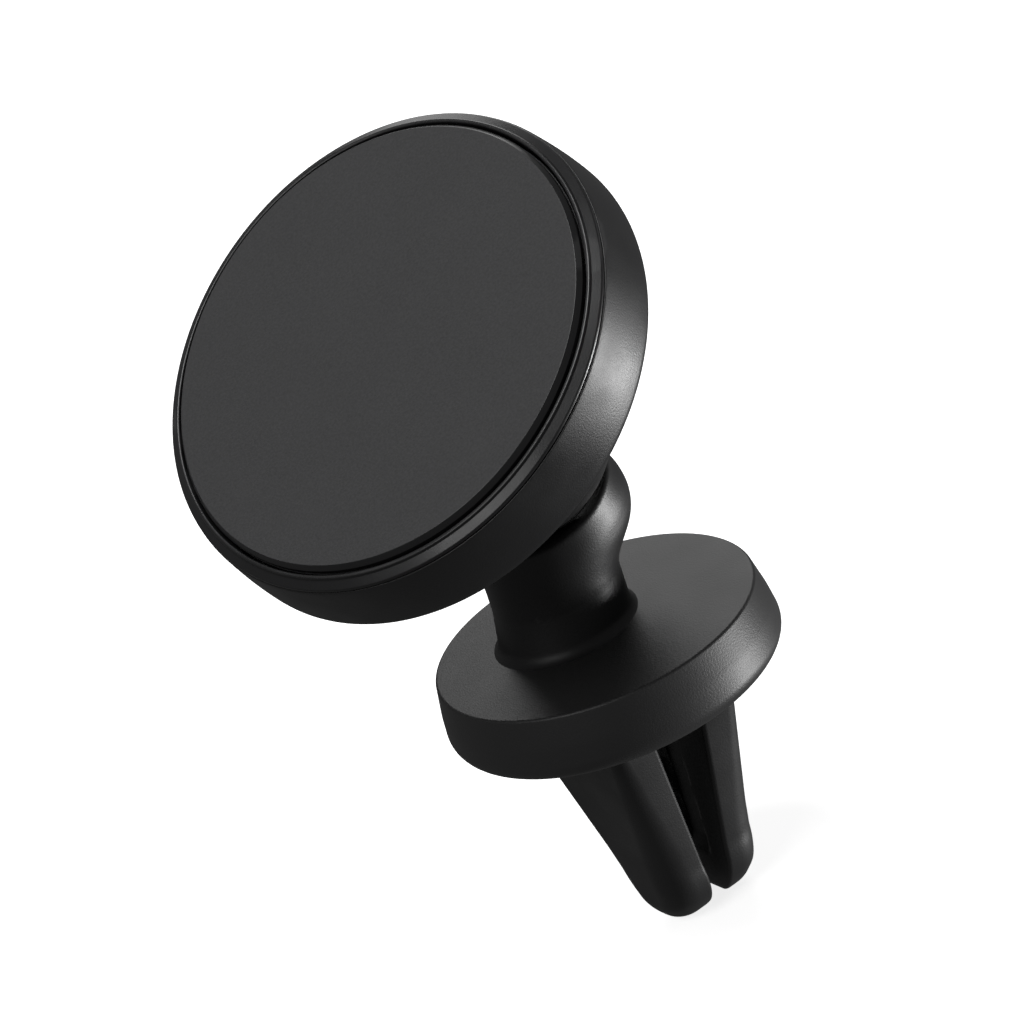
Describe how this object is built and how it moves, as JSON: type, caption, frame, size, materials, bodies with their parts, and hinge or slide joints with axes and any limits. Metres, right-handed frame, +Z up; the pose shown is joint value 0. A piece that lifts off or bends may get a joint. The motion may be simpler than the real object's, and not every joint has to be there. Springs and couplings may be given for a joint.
{
  "type": "car phone mount",
  "caption": "Round magnetic phone holder on a ball joint and leaning neck, with a flange and a sprung jaw clip for an air-vent slat.",
  "frame": {"origin": "centre of the flange's underside, where the mount bears on the vent", "axes": "+Z up the flange's axis away from the jaws, X the direction in which the jaws open, Y along the slat"},
  "size_m": [0.059, 0.0596, 0.1025],
  "materials": {
    "contact_pad": "fine-grained matt silicone face",
    "adhesive": "double-sided foam tape",
    "trim_plastic": "satin moulded plastic",
    "inner_plastic": "plain moulded plastic",
    "magnet_nickel": "nickel-plated magnets",
    "shunt_steel": "zinc-plated steel",
    "housing_plastic": "fine-textured satin plastic",
    "screw_steel": "plated steel",
    "spring_steel": "spring steel",
    "acetal": "natural acetal",
    "stud_steel": "polished steel",
    "neck_plastic": "satin moulded plastic",
    "flange_plastic": "fine-textured satin plastic",
    "jaw_core_plastic": "glass-filled nylon",
    "jaw_rubber": "soft-touch rubber"
  },
  "bodies": {
    "base": {"neck_shell": "neck_plastic", "socket_insert": "inner_plastic", "friction_washer": "acetal", "neck_screws": "screw_steel", "flange_cover": "flange_plastic", "flange_base": "inner_plastic", "base_screws": "screw_steel", "jaw_pins": "spring_steel", "jaw_springs": "spring_steel"},
    "stud": {"ball_stud": "stud_steel"},
    "ball_cup": {"ball_cup_front": "acetal", "ball_cup_rear": "acetal"},
    "head": {"face_pad": "contact_pad", "pad_adhesive": "adhesive", "trim_ring": "trim_plastic", "magnet_tray": "inner_plastic", "ring_magnets": "magnet_nickel", "shunt_ring": "shunt_steel", "back_housing": "housing_plastic", "housing_screws": "screw_steel", "wave_washer": "spring_steel", "locking_nut": "housing_plastic"},
    "left_jaw": {"left_jaw_core": "jaw_core_plastic", "left_jaw_sleeve": "jaw_rubber"},
    "right_jaw": {"right_jaw_core": "jaw_core_plastic", "right_jaw_sleeve": "jaw_rubber"}
  },
  "joints": [
    {"name": "stud_pan", "type": "hinge", "parent": "base", "child": "stud", "pos_m": [-0.001, 0.0021, 0.0357], "axis": [-0.2418, -0.2418, 0.9397], "continuous": true},
    {"name": "head_tilt", "type": "hinge", "parent": "stud", "child": "ball_cup", "pos_m": [-0.001, 0.0021, 0.0357], "axis": [0.1164, -0.9687, -0.2193], "range_deg": [-42, 8]},
    {"name": "head_spin", "type": "hinge", "parent": "ball_cup", "child": "head", "pos_m": [-0.001, 0.0021, 0.0357], "axis": [-0.5125, -0.2478, 0.8221], "continuous": true},
    {"name": "left_jaw_open", "type": "hinge", "parent": "base", "child": "left_jaw", "pos_m": [-0.0063, 0, 0.0036], "axis": [0, 1, 0], "range_deg": [-1.5, 8], "stiffness_Nm_per_rad": 0.6},
    {"name": "right_jaw_open", "type": "hinge", "parent": "base", "child": "right_jaw", "pos_m": [0.0063, 0, 0.0036], "axis": [0, -1, 0], "range_deg": [-1.5, 8], "stiffness_Nm_per_rad": 0.6}
  ],
  "couplings": [
    {"joint": "right_jaw_open", "follows": "left_jaw_open", "ratio": 1}
  ]
}
